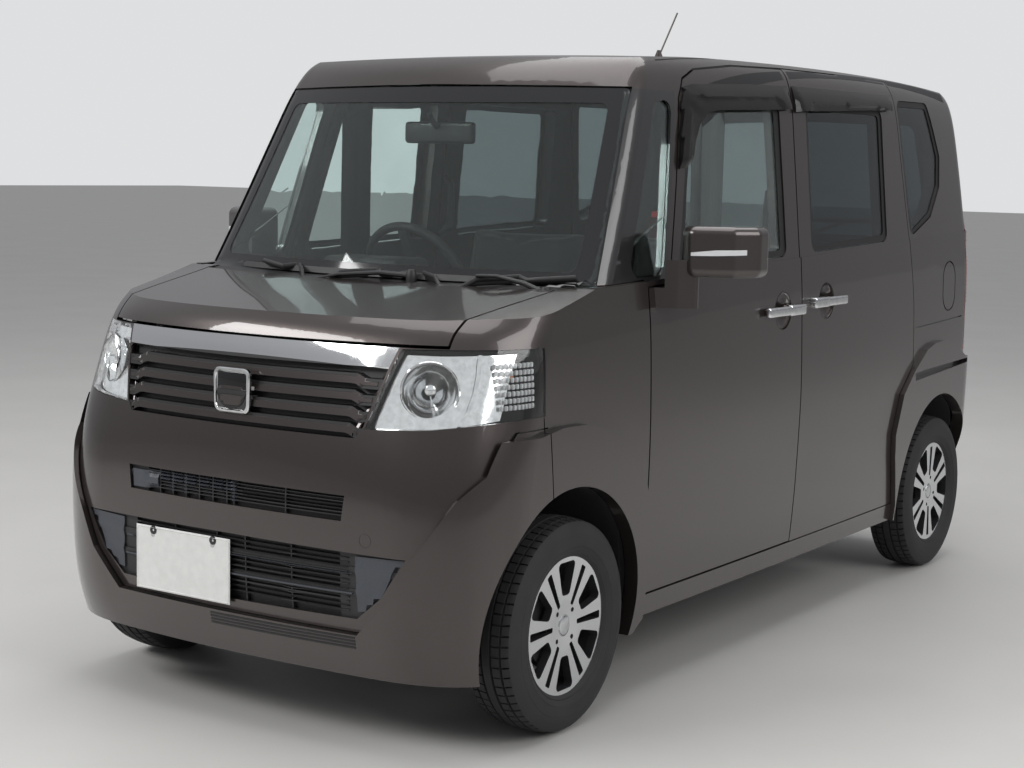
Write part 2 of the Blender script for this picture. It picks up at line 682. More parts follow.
def lampHousing():
    # the bright backing behind both lenses, in place of the plain housings
    bm = bmesh.new()
    for side in (-1, 1):
        loop = roundedLoop(sided(-side, lampLook["outline"]), lampLook["corner"], 12)
        centre = Vector((side * lampLook["across"], lampLook["high"]))
        hole = [centre + (spot - centre).normalized() * lampLook["radius"] * lampLook["hole"]
                for spot in loop]
        middle = sum(loop, Vector((0, 0))) / len(loop)
        loop = [middle.lerp(spot, lampLook["inward"]) for spot in loop]
        loop = [Vector((side * min(abs(spot.x), lampLook["furthest"]), spot.y)) for spot in loop]
        addRing(bm, lensSkin, fromFront, loop, hole, lampLook["back"], lampLook["sheet"], lampLook["rows"])
    piece = toPiece(bm, "LampHousings", reflector)
    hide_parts("lamp_bowls")


def lampBowls():
    # a round bright bowl with its rim, in each lamp
    bm = bmesh.new()
    radius, drawn = lampLook["radius"], lampLook["drawnRadius"]
    profile = [(reach * radius / drawn, depth) for key in ("inner", "rim", "outer")
               for reach, depth in bowlLook[key]]
    for side in (-1, 1):
        turned(bm, profile, lampAxis(side), lampCentre(side), 96)
    toPiece(bm, "LampBowls", reflector)


bulbLook = {
    "base": [(0.0, -0.020), (0.0055, -0.021), (0.0075, -0.026), (0.0075, -0.040), (0.013, -0.042),
             (0.015, -0.046), (0.015, -0.050)],
    "cap": [(0.0, -0.0085), (0.009, -0.0095), (0.0135, -0.0125), (0.0140, -0.0190), (0.0130, -0.0190),
            (0.0122, -0.0135), (0.0, -0.0115)],
    "stay": ((0.014, -0.012), (0.026, -0.019), (0.043, -0.024)), "stayRadius": 0.0018,
    "amber": [(0.0, 0.016), (0.006, 0.014), (0.0088, 0.008), (0.0088, -0.004), (0.006, -0.012),
              (0.006, -0.018)],
    "amberAlong": -0.215, "amberHigh": 0.940, "amberDeep": 0.046,
}


def lampBulbs():
    # bulb base, the cap ahead of it on its stay, fine rings in the bowl, and the amber bulb beside it
    bases, caps, amber = bmesh.new(), bmesh.new(), bmesh.new()
    for side in (-1, 1):
        axis, centre = lampAxis(side), lampCentre(side)
        turned(bases, bulbLook["base"], axis, centre, 32)
        turned(caps, bulbLook["cap"], axis, centre, 40)
        stay = [centre - axis * back + Vector((0, 0, down)) for back, down in bulbLook["stay"]]
        addTube(caps, stay, bulbLook["stayRadius"], 8)
        for level in range(bowlLook["ringCount"]):
            reach = bowlLook["ringReach"] + bowlLook["ringStep"] * level
            depth = bowlLook["ringDepth"] + bowlLook["ringRise"] * level
            turned(caps, [(reach + out, depth + ahead) for out, ahead in bowlLook["ring"]], axis, centre, 72)
        place, normal = fromSide(side)(lensSkin, (bulbLook["amberAlong"], bulbLook["amberHigh"]))
        turned(amber, bulbLook["amber"], normal, place - normal * bulbLook["amberDeep"], 28)
    toPiece(bases, "LampBulbBases", steel)
    toPiece(caps, "LampCaps", chrome)
    toPiece(amber, "LampAmberBulbs", orangeGlass)


fluteLook = {"start": -0.262, "step": 0.0125, "count": 9, "levels": 7, "low": 0.856, "high": 0.974,
             "half": (0.004, 0.0045, 0.0065), "deep": 0.016, "bevel": 0.0028}


def lampFlutes():
    # rows of small pillows in the clear outer part of each lamp
    bm = bmesh.new()
    low, high = fluteLook["low"], fluteLook["high"]
    half = Vector(fluteLook["half"])
    for side in (-1, 1):
        for number in range(fluteLook["count"]):
            along = fluteLook["start"] + fluteLook["step"] * number
            for level in range(fluteLook["levels"]):
                base = low + (high - low) * level / fluteLook["levels"]
                place, normal = fromSide(side)(lensSkin, (along, base + half.z))
                inner = place - normal * fluteLook["deep"]
                addBox(bm, inner - half, inner + half, fluteLook["bevel"], 2)
    toPiece(bm, "LampFlutes", lampWhite)


dividerLook = {"rail": [(0.618, 0.824), (0.630, 0.862), (0.634, 0.900), (0.632, 0.945), (0.624, 0.992)],
               "outerRail": [(0.625, 0.824), (0.637, 0.862), (0.641, 0.900), (0.639, 0.945), (0.631, 0.992)],
               "cells": (40, 2), "lift": -0.011, "thick": 0.010}


def lampDividers():
    # the bright curved bar between bowl and flutes
    bm = bmesh.new()
    for side in (-1, 1):
        rails = [sided(side, dividerLook[key]) for key in ("rail", "outerRail")]
        addBand(bm, lensSkin, fromFront, rails, dividerLook["cells"], dividerLook["lift"],
                dividerLook["thick"])
    toPiece(bm, "LampDividers", chrome)


for make in (lampHousing, lampBowls, lampBulbs, lampFlutes, lampDividers):
    make()
print("front lamps and grille dressed")

# lower air openings and the number plates

slotSkin = skinOf("lower_grille")
bumperSkin = skinOf("front_bumper")
openingLook = {"upperHigh": (0.584, 0.645), "cell": 0.0105, "bar": 0.0022,
               "fields": ((0.588, 0.643, 0.042, 0.372), (0.350, 0.492, -0.330, 0.372))}
endLook = {"low": (-0.350, -0.256), "high": (-0.354, -0.256), "lift": 0.006, "thick": 0.004,
           "cornerLow": [(0.398, 0.356), (0.460, 0.366)], "cornerHigh": [(0.392, 0.494), (0.530, 0.498)],
           "cornerLift": 0.005}


def darkPanels():
    # the smooth end panels of both air openings
    bm = bmesh.new()
    rails = [[(across, high) for across in endLook[key]]
             for key, high in zip(("low", "high"), openingLook["upperHigh"])]
    addBand(bm, slotSkin, fromFront, rails, (8, 4), endLook["lift"], endLook["thick"])
    for side in (-1, 1):
        rails = [sided(side, endLook[key]) for key in ("cornerLow", "cornerHigh")]
        addBand(bm, slotSkin, fromFront, rails, (8, 8), endLook["cornerLift"], endLook["thick"])
    toPiece(bm, "OpeningEndPanels", slatePlastic)


def fineLouvres():
    # thin blades behind the bars, in both openings
    bm = bmesh.new()
    for low, high, left, right in openingLook["fields"]:
        count = int((high - low) / openingLook["cell"])
        for number in range(count):
            base = low + (number + 0.5) * (high - low) / count
            rails = strip(left, right, base, base + openingLook["bar"])
            addBand(bm, slotSkin, fromFront, rails, (16, 1), 0.004, 0.005)
    toPiece(bm, "FineLouvres", blackPlastic)


slotLook = {"columns": 6, "rows": 6, "left": -0.250, "right": 0.028, "gap": 0.008, "margin": 0.003,
            "tall": 0.0048,
            "lift": 0.005, "thick": 0.006}


def slotMesh():
    # six columns of short bars in one half of the upper opening
    bm = bmesh.new()
    low, high = openingLook["upperHigh"]
    pitch = slotLook["right"] - slotLook["left"]
    for column in range(slotLook["columns"]):
        start = slotLook["left"] + pitch * column / slotLook["columns"]
        end = start + pitch / slotLook["columns"] - slotLook["gap"]
        for row in range(slotLook["rows"]):
            base = low + slotLook["margin"] + (high - low - 2 * slotLook["margin"]) * row / slotLook["rows"]
            rails = strip(start, end, base, base + slotLook["tall"])
            addBand(bm, slotSkin, fromFront, rails, (4, 1), slotLook["lift"], slotLook["thick"])
    toPiece(bm, "SlotMesh", slatePlastic)


barLook = {"half": 0.385, "heights": (0.397, 0.446), "rise": 0.002, "tall": 0.0035, "lift": 0.0045,
           "thick": 0.005}
lipLook = {"left": -0.06, "right": 0.40, "low": 0.262, "step": 0.0085, "count": 4, "rise": 0.003,
           "tall": 0.005,
           "lift": 0.0012, "thick": 0.0008}


def slanted(left, right, base, look):
    # the two rails of a thin bar that rises a little toward its right end
    return ([(left, base), (right, base + look["rise"])],
            [(left, base + look["tall"]), (right, base + look["tall"] + look["rise"])])


def openingBars():
    # the two thin bars across the lower opening
    bm = bmesh.new()
    for base in barLook["heights"]:
        rails = slanted(-barLook["half"], barLook["half"], base, barLook)
        addBand(bm, slotSkin, fromFront, rails, (32, 1), barLook["lift"], barLook["thick"])
    toPiece(bm, "OpeningBars", slatePlastic)


def lipIntake():
    # the dark slatted opening under the lip
    bm = bmesh.new()
    for number in range(lipLook["count"]):
        rails = slanted(lipLook["left"], lipLook["right"], lipLook["low"] + lipLook["step"] * number, lipLook)
        addBand(bm, bumperSkin, fromFront, rails, (20, 1), lipLook["lift"], lipLook["thick"])
    toPiece(bm, "LipIntake", softBlack)


plateLook = {"front": {"across": -0.159, "low": 0.318, "high": 0.488, "gap": 0.011},
             "rear": {"across": 0.0, "low": 0.6775, "high": 0.8425, "gap": 0.006},
             "halfWidth": 0.165, "thick": 0.0018, "bevel": 0.0006, "rim": 0.0016, "rimInset": 0.004,
             "rimEnd": 0.006,
             "bolt": 0.105, "boltDrop": 0.022,
             "boltHead": [(0.0, 0.0009), (0.0045, 0.0009), (0.0068, 0.0004), (0.0075, -0.001)]}


def numberPlate(name, end, forward, body):
    # a blank plate with a raised edge and two bolts
    look = plateLook[end]
    middle, low, high = look["across"], look["low"], look["high"]
    half, inset, rimEnd = plateLook["halfWidth"], plateLook["rimInset"], plateLook["rimEnd"]
    bm = bmesh.new()
    skin = skinOf("front_bumper", "lower_grille") if end == "front" else skinOf("tailgate")
    cast = fromFront if end == "front" else fromRear
    seat = [cast(skin, (middle + step * half, level))[0].y for step in (-1, 0, 1) for level in (low, high)]
    face = min(seat) - look["gap"] if end == "front" else max(seat) + look["gap"]
    lowY, highY = sorted((face, face - forward * plateLook["thick"]))
    addBox(bm, (middle - half, lowY, low), (middle + half, highY, high), plateLook["bevel"], 1)
    for level in (low + inset, high - inset):
        rim = [(middle - half + rimEnd, face, level), (middle + half - rimEnd, face, level)]
        addTube(bm, rim, plateLook["rim"], 8)
    for side in (-1, 1):
        across = middle + side * (half - inset)
        addTube(bm, [(across, face, low + rimEnd), (across, face, high - rimEnd)], plateLook["rim"], 8)
    toPiece(bm, name, plateWhite, body)
    bolts = bmesh.new()
    for side in (-1, 1):
        centre = (middle + side * plateLook["bolt"], face, high - plateLook["boltDrop"])
        turned(bolts, plateLook["boltHead"], (0, forward, 0), centre, 24)
    toPiece(bolts, name + "Bolts", screwSteel, body)


holderLook = {"half": 0.13, "low": 0.36, "high": 0.478, "seat": 0.42, "front": 0.002, "back": 0.012,
              "bevel": 0.004}


def plateHolder():
    # the black block that carries the front plate
    bm = bmesh.new()
    middle = plateLook["front"]["across"]
    face = fromFront(slotSkin, (middle, holderLook["seat"]))[0].y
    addBox(bm, (middle - holderLook["half"], face - holderLook["front"], holderLook["low"]),
           (middle + holderLook["half"], face + holderLook["back"], holderLook["high"]),
           holderLook["bevel"], 2)
    toPiece(bm, "PlateHolder", blackPlastic)


towLook = {"across": 0.426, "high": 0.537, "radius": 0.017, "steps": 32, "inner": 0.94, "lift": 0.0004,
           "thick": 0.0006}


def towCover():
    # the round line of the towing eye's cover
    bm = bmesh.new()
    across, high, radius = towLook["across"], towLook["high"], towLook["radius"]
    turns = [math.tau * step / towLook["steps"] for step in range(towLook["steps"])]
    outline = [Vector((across + radius * math.cos(turn), high + radius * math.sin(turn))) for turn in turns]
    inner = [Vector((across, high)).lerp(spot, towLook["inner"]) for spot in outline]
    addRing(bm, bumperSkin, fromFront, outline, inner, towLook["lift"], towLook["thick"], 1)
    toPiece(bm, "TowCoverLine", blackPlastic)


for make in (darkPanels, fineLouvres, slotMesh, openingBars, lipIntake, plateHolder, towCover):
    make()
numberPlate("FrontPlate", "front", -1, "body")
numberPlate("RearPlate", "rear", 1, "tailgate")
print("air openings and plates made")

# windscreen, side windows and visors

screenSkin = skinOf("front_glass")
fritLook = {"outer": [(-0.668, 1.131), (0.668, 1.131), (0.594, 1.660), (-0.594, 1.660)],
            "inner": [(-0.612, 1.168), (0.612, 1.168), (0.552, 1.616), (-0.552, 1.616)],
            "corner": 0.03, "lift": 0.0008, "thick": 0.0006}


def screenFrit():
    # the black border printed round the windscreen
    bm = bmesh.new()
    outer, inner = (roundedLoop(fritLook[key], fritLook["corner"], 24) for key in ("outer", "inner"))
    addRing(bm, screenSkin, fromFront, outer, inner, fritLook["lift"], fritLook["thick"], 3)
    toPiece(bm, "ScreenFrit", glossBlack)


sealLook = {
    "front": {"outer": [(0.568, 1.162), (1.220, 1.186), (1.220, 1.650), (0.731, 1.638), (0.694, 1.605),
                        (0.636, 1.400)],
              "inner": [(0.602, 1.186), (1.190, 1.203), (1.190, 1.628), (0.744, 1.618), (0.716, 1.592),
                        (0.656, 1.400)]},
    "slide": {"outer": [(1.400, 1.192), (1.998, 1.214), (1.983, 1.650), (1.400, 1.650)],
              "inner": [(1.416, 1.212), (1.976, 1.233), (1.962, 1.632), (1.416, 1.632)]},
    "quarter": {"outer": [(2.216, 1.222), (2.417, 1.290, 0.06), (2.514, 1.393), (2.532, 1.504),
                          (2.429, 1.690),
                          (2.128, 1.688)],
                "inner": [(2.232, 1.240), (2.406, 1.304, 0.05), (2.494, 1.400), (2.510, 1.502),
                          (2.420, 1.670),
                          (2.146, 1.668)]},
    "outerCorner": 0.028, "innerCorner": 0.022, "lift": 0.003, "thick": 0.0035,
}


def windowSeal(name, shape, side, glass, body):
    # the rubber and black edge round one side window
    bm = bmesh.new()
    outer = roundedLoop(sealLook[shape]["outer"], sealLook["outerCorner"], 10)
    inner = roundedLoop(sealLook[shape]["inner"], sealLook["innerCorner"], 10)
    addRing(bm, skinOf(glass), fromSide(side), outer, inner, sealLook["lift"], sealLook["thick"], 2)
    toPiece(bm, name, softBlack, body)


screenFrit()
for side, word in ((1, "left"), (-1, "right")):
    ending = word.capitalize()
    windowSeal("FrontSeal" + ending, "front", side, "door_window_" + word, "front_door_" + word)
    windowSeal("SlideSeal" + ending, "slide", side, "privacy_windows", "body")
    windowSeal("QuarterSeal" + ending, "quarter", side, "privacy_windows", "body")

visorLook = {
    "front": ([(0.574, 1.436), (0.600, 1.512), (0.640, 1.625), (0.668, 1.668), (0.74, 1.682), (1.00, 1.693),
               (1.292, 1.700)],
              [(0.660, 1.450), (0.686, 1.515), (0.724, 1.568), (0.770, 1.598), (0.84, 1.609), (1.05, 1.617),
               (1.284, 1.626)]),
    "slide": ([(1.322, 1.701), (2.086, 1.704)], [(1.314, 1.622), (2.056, 1.650)]),
    "cells": (60, 8), "seat": 0.002, "bulge": 0.024, "endShare": 0.03, "endBulge": 0.35, "thick": 0.002,
}


def windVisor(name, shape, side, skins, body):
    # the smoked visor over a side window, standing off at its lower edge
    bm = bmesh.new()
    upper, lower = visorLook[shape]
    bmesh.ops.create_grid(bm, x_segments=visorLook["cells"][0], y_segments=visorLook["cells"][1], size=0.5)
    for vert in bm.verts:
        along, over = vert.co.x + 0.5, vert.co.y + 0.5
        spot = onRail(upper, along).lerp(onRail(lower, along), over)
        ends = min(1, along / visorLook["endShare"], (1 - along) / visorLook["endShare"])
        fullness = visorLook["endBulge"] + (1 - visorLook["endBulge"]) * ends
        height = visorLook["seat"] + visorLook["bulge"] * math.sin(over * math.pi / 2) * fullness
        vert.co = (spot.x, spot.y, height)
    sheetToSkin(bm, skinOf(*skins), fromSide(side), 0, visorLook["thick"])
    toPiece(bm, name, smokedPlastic, body)


for side, word in ((1, "left"), (-1, "right")):
    ending = word.capitalize()
    doorNode = "front_door_" + word
    windVisor("FrontVisor" + ending, "front", side, (doorNode, "door_window_" + word), doorNode)
    windVisor("SlideVisor" + ending, "slide", side,
              ("sliding_doors", "privacy_windows", "side_body_" + word), "body")
print("glass edges and visors made")

# wheels and tyres

wheelSides = {"front_left": 1, "front_right": -1, "rear_left": 1, "rear_right": -1}
tyreLook = {
    "wall": [(0.1790, 0.0600), (0.1835, 0.0655), (0.1880, 0.0690), (0.1900, 0.0680), (0.1930, 0.0698),
             (0.2050, 0.0748),
             (0.2060, 0.0742), (0.2075, 0.0754), (0.2200, 0.0768), (0.2330, 0.0770), (0.2340, 0.0762),
             (0.2355, 0.0766),
             (0.2470, 0.0748), (0.2590, 0.0705), (0.2660, 0.0672), (0.2700, 0.0645)],
    "drawnRadius": 0.2785, "smaller": 0.0003, "treadHalf": 0.0590, "shoulder": 0.052, "crown": 0.006,
    "grooves": (-0.0415, -0.0140, 0.0140, 0.0415), "grooveHalf": 0.0034, "grooveDeep": 0.0075,
    "grooveFloor": 0.7,
    "pitches": 64, "cutShare": 0.16, "cutWall": 0.02, "cutDepth": 0.0062, "ribCutDepth": 0.55, "shear": 0.55,
    "treadDeep": 0.0135, "cutDeep": 0.0064, "blockEdge": 0.004, "cutEdge": 0.002, "ribFrom": 0.018,
    "cutFrom": 0.016, "sharp": 28,
}


def treadOutline(radius):
    # (radius, place across) from the inner bead round the tread to the outer bead
    wall = [(reach * radius / tyreLook["drawnRadius"], across) for reach, across in tyreLook["wall"]]
    treadHalf, half, shoulder = tyreLook["treadHalf"], tyreLook["grooveHalf"], tyreLook["shoulder"]
    floorHalf = half * tyreLook["grooveFloor"]

    def crown(across):
        return radius - tyreLook["crown"] * (across / treadHalf) ** 2

    outline = [(reach, -across) for reach, across in wall]
    outline += [(crown(across), across) for across in (-treadHalf, -shoulder)]
    for centre in tyreLook["grooves"]:
        for offset, depth in ((-half, 0), (-floorHalf, 1), (floorHalf, 1), (half, 0)):
            outline.append((crown(centre + offset) - depth * tyreLook["grooveDeep"], centre + offset))
    outline += [(crown(across), across) for across in (shoulder, treadHalf)]
    return outline + wall[::-1]


def tyre(name):
    # the CAD tyre's outline with tread grooves, then blocks cut by moving its points
    side = wheelSides[name]
    low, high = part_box("tyre_" + name)
    centre = (low + high) / 2
    radius = (high.z - low.z) / 2 - tyreLook["smaller"]
    bm = bmesh.new()
    verts = [bm.verts.new(centre + Vector((across * side, 0, reach)))
             for reach, across in treadOutline(radius)]
    edges = [bm.edges.new(pair) for pair in zip(verts, verts[1:] + verts[:1])]
    steps = tyreLook["pitches"] * 4
    bmesh.ops.spin(bm, geom=verts + edges, cent=centre, axis=(1, 0, 0), angle=math.tau, steps=steps,
                   use_merge=True)
    bmesh.ops.remove_doubles(bm, verts=bm.verts[:], dist=tiny)
    pitch = math.tau / tyreLook["pitches"]
    columns = (0, 1 - tyreLook["cutShare"] - tyreLook["cutWall"], 1 - tyreLook["cutShare"],
               1 - tyreLook["cutWall"])
    outerGroove = tyreLook["grooves"][3]
    for vert in bm.verts:
        offset = vert.co - centre
        reach = math.hypot(offset.y, offset.z)
        turn = math.atan2(offset.y, offset.z) % math.tau
        block, column = divmod(round(turn / pitch * 4) % steps, 4)
        across = abs(offset.x)
        if reach > radius - tyreLook["treadDeep"]:
            turn = (block + columns[column]) * pitch
            if across > outerGroove - tyreLook["blockEdge"]:
                turn += tyreLook["shear"] * (across - outerGroove) * (1 if offset.x > 0 else -1)
            elif across > tyreLook["ribFrom"]:
                turn += pitch * 0.5
            if column in (2, 3) and across > tyreLook["cutFrom"] and reach > radius - tyreLook["cutDeep"]:
                outerBlock = across > outerGroove + tyreLook["cutEdge"]
                reach -= tyreLook["cutDepth"] * (1 if outerBlock else tyreLook["ribCutDepth"])
        vert.co = centre + Vector((offset.x, math.sin(turn) * reach, math.cos(turn) * reach))
    piece = toPiece(bm, "Tyre_" + name, tyreRubber, "wheel_" + name, tyreLook["sharp"])
    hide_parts("tyre_" + name)


hubLook = {"nuts": 4, "nutCircle": 0.050,
           "nut": [(0.0, -0.012), (0.0068, -0.013), (0.0092, -0.017), (0.0095, -0.034)],
           "cap": [(0.0, -0.0055), (0.018, -0.006), (0.0235, -0.0075), (0.0245, -0.0105), (0.0255, -0.0085),
                   (0.0272, -0.0080), (0.0285, -0.0100), (0.0285, -0.016)],
           "valveDeep": 0.040, "valveReach": 0.152, "valveRise": 0.012,
           "valve": ((0, 0, 0), (0.014, 0.004, 0), (0.026, 0.006, 0)), "valveRadii": [0.0042, 0.0036, 0.0034]}


def wheelDress(name):
    # nuts, centre cap and valve
    side = wheelSides[name]
    low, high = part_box("rim_" + name)
    centre = (low + high) / 2
    face = high.x if side > 0 else low.x
    axis = Vector((side, 0, 0))
    body = "wheel_" + name
    nuts = bmesh.new()
    for number in range(hubLook["nuts"]):
        turn = math.pi / 4 + number * math.tau / hubLook["nuts"]
        spot = (face, centre.y + hubLook["nutCircle"] * math.sin(turn),
                centre.z + hubLook["nutCircle"] * math.cos(turn))
        turned(nuts, hubLook["nut"], axis, spot, 6)
    toPiece(nuts, "WheelNuts_" + name, screwSteel, body, 25)
    cap = bmesh.new()
    turned(cap, hubLook["cap"], axis, (face, centre.y, centre.z), 56)
    toPiece(cap, "WheelCap_" + name, alloy, body)
    valve = bmesh.new()
    foot = Vector((face - side * hubLook["valveDeep"], centre.y + hubLook["valveReach"],
                   centre.z + hubLook["valveRise"]))
    path = [foot + Vector((side * out, ahead, up)) for out, ahead, up in hubLook["valve"]]
    addTube(valve, path, hubLook["valveRadii"])
    toPiece(valve, "Valve_" + name, softBlack, body)


for name in wheelSides:
    tyre(name)
    wheelDress(name)
print("tyres and wheels dressed")

# mirrors, wipers, roof strips and handles

mirrorLook = {
    "glass": [(0.788, 1.182), (0.922, 1.178), (0.922, 1.270), (0.788, 1.268)], "corner": 0.026, "inner": 0.93,
    "surroundLift": 0.0012, "surroundThick": 0.002, "glassLift": 0.0006, "glassThick": 0.0012,
    "lampLow": [(0.800, 1.214), (0.86, 1.215), (0.925, 1.218)],
    "lampHigh": [(0.800, 1.223), (0.86, 1.230), (0.925, 1.232)], "lampLift": 0.0006, "lampThick": 0.003,
    "lineLow": [(0.775, 1.210), (0.935, 1.212)], "lineHigh": [(0.775, 1.2125), (0.935, 1.215)],
    "lineLift": 0.0003, "lineThick": 0.001,
}


def mirrorFace(side, word):
    # the glass in the rear of the housing, with its dark surround
    skin = skinOf("mirror_" + word)
    outline = sided(side, mirrorLook["glass"])
    if side < 0:
        outline = [outline[number] for number in (1, 0, 3, 2)]
    surround = bmesh.new()
    loop = roundedLoop(outline, mirrorLook["corner"], 8)
    centre = sum(loop, Vector((0, 0))) / len(loop)
    inside = [centre.lerp(spot, mirrorLook["inner"]) for spot in loop]
    addRing(surround, skin, fromRear, loop, inside, mirrorLook["surroundLift"], mirrorLook["surroundThick"])
    toPiece(surround, "MirrorSurround_" + word, softBlack, "front_door_" + word)
    glass = bmesh.new()
    addDisc(glass, skin, fromRear, inside, mirrorLook["glassLift"], mirrorLook["glassThick"], 5)
    toPiece(glass, "MirrorGlass_" + word, mirrorGlass, "front_door_" + word)


def mirrorIndicator(side, word):
    # the pale lamp strip along the front of the housing, with a dark line under it
    skin = skinOf("mirror_" + word)
    for name, key, cells, finish in (("MirrorLamp_", "lamp", (28, 4), indicatorClear),
                                     ("MirrorSplit_", "line", (30, 1), blackPlastic)):
        bm = bmesh.new()
        rails = [sided(side, mirrorLook[key + level]) for level in ("Low", "High")]
        addBand(bm, skin, fromFront, rails, cells, mirrorLook[key + "Lift"], mirrorLook[key + "Thick"])
        toPiece(bm, name + word, finish, "front_door_" + word)


for side, word in ((-1, "right"), (1, "left")):
    mirrorFace(side, word)
    mirrorIndicator(side, word)

wiperLook = {
    "left": {"pivot": (0.158, 0.060), "blade": [(-0.395, 1.148), (-0.155, 1.117), (0.090, 1.136)]},
    "right": {"pivot": (0.590, 0.085), "blade": [(0.120, 1.136), (0.310, 1.119), (0.622, 1.148)]},
    "steps": 16, "holderLift": 0.020, "holder": 0.0055, "rubberLift": 0.0085, "rubber": 0.0034,
    "armLift": 0.030,
    "armRadii": [0.0105, 0.0085, 0.0065, 0.0055],
    "foot": [(0.0, 0.034), (0.010, 0.033), (0.0135, 0.028), (0.015, 0.010), (0.015, -0.004)],
}


def wiper(name):
    # arm, blade holder and rubber, parked low on the screen
    look = wiperLook[name]
    steps = wiperLook["steps"]
    blade = [fromFront(skinOf("front_glass", "cowl"), onRail(look["blade"], step / steps))
             for step in range(steps + 1)]
    holder, rubberStrip = bmesh.new(), bmesh.new()
    addTube(holder, [place + normal * wiperLook["holderLift"] for place, normal in blade],
            wiperLook["holder"], 10, 1.3)
    addTube(rubberStrip, [place + normal * wiperLook["rubberLift"] for place, normal in blade],
            wiperLook["rubber"], 8, 1.9)
    place, normal = blade[steps // 2]
    armEnd = place + normal * wiperLook["armLift"]
    pivot = fromAbove(skinOf("cowl", "front_glass"), look["pivot"])[0]
    arm = [pivot + Vector((0, 0, 0.016)), pivot.lerp(armEnd, 0.3) + Vector((0, -0.002, 0.024)),
           pivot.lerp(armEnd, 0.7) + Vector((0, -0.004, 0.018)), armEnd]
    addTube(holder, arm, wiperLook["armRadii"], 10, 0.8)
    turned(holder, wiperLook["foot"], (0, 0, 1), pivot, 28)
    toPiece(holder, "Wiper_" + name, blackPlastic)
    toPiece(rubberStrip, "WiperRubber_" + name, softBlack)


for name in ("left", "right"):
    wiper(name)

roofSkin = skinOf("roof_panel", "side_body_left", "side_body_right", "tailgate",
                  "front_door_left", "front_door_right", "sliding_doors")
stripLook = {"across": 0.6405, "half": 0.0075, "start": 0.735, "end": 2.640, "cells": (90, 2), "lift": 0.0008,
             "thick": 0.003}


def roofStrips():
    # the dark mouldings in the roof's two side channels
    bm = bmesh.new()
    for side in (-1, 1):
        rails = [[(side * (stripLook["across"] + edge), along)
                  for along in (stripLook["start"], stripLook["end"])]
                 for edge in (-stripLook["half"], stripLook["half"])]
        addBand(bm, roofSkin, fromAbove, rails, stripLook["cells"], stripLook["lift"], stripLook["thick"])
    toPiece(bm, "RoofStrips", softBlack)


roofStrips()
print("mirrors, wipers and roof strips made")

handleLook = {"barIn": 0.7363, "barOut": 0.7539, "capIn": 0.7215, "capOut": 0.7557, "barHalf": 0.0147,
              "capHalf": 0.0167, "soft": 0.0068,
              "front": {"high": 1.0221, "bar": (1.0400, 1.2378), "cap": (1.1852, 1.2909)},
              "rear": {"high": 1.0360, "bar": (1.4137, 1.6087), "cap": (1.3614, 1.4656)}}


def chromeHandle(which, side):
    # bright shells over the pull bar and the lock's cap
    look = handleLook[which]
    word = "left" if side > 0 else "right"
    bm = bmesh.new()
    for key in ("bar", "cap"):
        inner, outer = sorted((side * handleLook[key + "In"], side * handleLook[key + "Out"]))
        start, end = look[key]
        low = (inner, behind(start), look["high"] - handleLook[key + "Half"])
        high = (outer, behind(end), look["high"] + handleLook[key + "Half"])
        addBox(bm, low, high, handleLook["soft"], 4)
    toPiece(bm, "Handle_%s_%s" % (which, word), chrome, "front_door_" + word if which == "front" else "body")


for side in (-1, 1):
    for which in ("front", "rear"):
        chromeHandle(which, side)
print("handles made")

# seats

seatLook = {"voxel": 0.011, "smaller": 0.006, "pressure": 4.0, "frames": 20, "furthest": 0.024, "fill": 0.75,
            "quality": 4, "mass": 0.3, "stiffness": 12, "bending": 0.4}


def settle(piece):
    # puts the result of the modifiers in place of the mesh
    graph = bpy.context.evaluated_depsgraph_get()
    mesh = bpy.data.meshes.new_from_object(piece.evaluated_get(graph))
    piece.modifiers.clear()
    piece.data = mesh


def inflate(piece):
    # blows the cover up as cloth, and keeps each point near where it began
    start = [vert.co.copy() for vert in piece.data.vertices]
    cloth = piece.modifiers.new("Cover", "CLOTH")
    cloth.settings.quality = seatLook["quality"]
    cloth.settings.mass = seatLook["mass"]
    cloth.settings.tension_stiffness = seatLook["stiffness"]
    cloth.settings.compression_stiffness = seatLook["stiffness"]
    cloth.settings.bending_stiffness = seatLook["bending"]
    cloth.settings.use_pressure = True
    cloth.settings.uniform_pressure_force = seatLook["pressure"]
    cloth.settings.effector_weights.gravity = 0
    cloth.point_cache.frame_start = 1
    cloth.point_cache.frame_end = seatLook["frames"]
    for number in range(1, seatLook["frames"] + 1):
        bpy.context.scene.frame_set(number)
    settle(piece)
    for vert, first in zip(piece.data.vertices, start):
        travel = vert.co - first
        if travel.length > seatLook["furthest"]:
            vert.co = first + travel.normalized() * seatLook["furthest"]
    bpy.context.scene.frame_set(1)


def padSeats():
    # the CAD cushions, inflated a little so that their covers look stuffed
    piece = bpy.data.objects.new("SeatPads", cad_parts["seats"].data.copy())
    bpy.context.collection.objects.link(piece)
    remesh = piece.modifiers.new("Remesh", "REMESH")
    remesh.mode = "VOXEL"
    remesh.voxel_size = seatLook["voxel"]
    shrink = piece.modifiers.new("Smaller", "DISPLACE")
    shrink.mid_level = 0
    shrink.strength = -seatLook["smaller"]
    settle(piece)
    inflate(piece)
    piece.data.materials.clear()
    piece.data.materials.append(seatCloth)
    piece.data.shade_smooth()
    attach(piece, "body")
    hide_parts("seats")


padSeats()
print("seats padded")

# cabin

